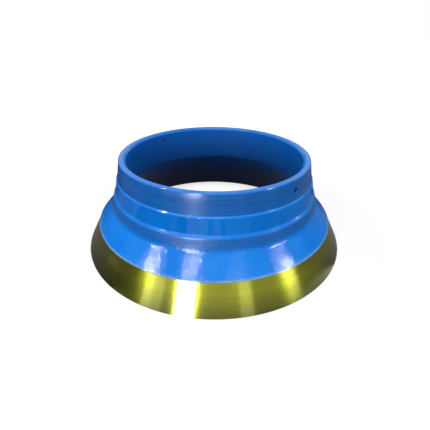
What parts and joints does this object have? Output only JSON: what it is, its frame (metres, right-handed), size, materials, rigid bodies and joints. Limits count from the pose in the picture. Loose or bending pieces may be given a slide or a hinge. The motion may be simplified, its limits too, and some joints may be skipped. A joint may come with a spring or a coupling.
{
  "type": "cone crusher mantle",
  "caption": "Flared ring casting for a cone crusher, with a wide straight mouth, stepped turned bands, a turned conical seat round the foot and radial lifting holes.",
  "frame": {"origin": "centre of the bottom face, on the ring's axis", "axes": "+Z along the ring's axis, from the wide foot up to the mouth; the front lifting hole points between +X and -Y"},
  "size_m": [1.2974, 1.2974, 0.426],
  "materials": {
    "casting": "gloss blue paint on cast and turned steel, with the seat round the foot left bare"
  },
  "bodies": {
    "root": {"mantle": "casting"}
  },
  "joints": []
}
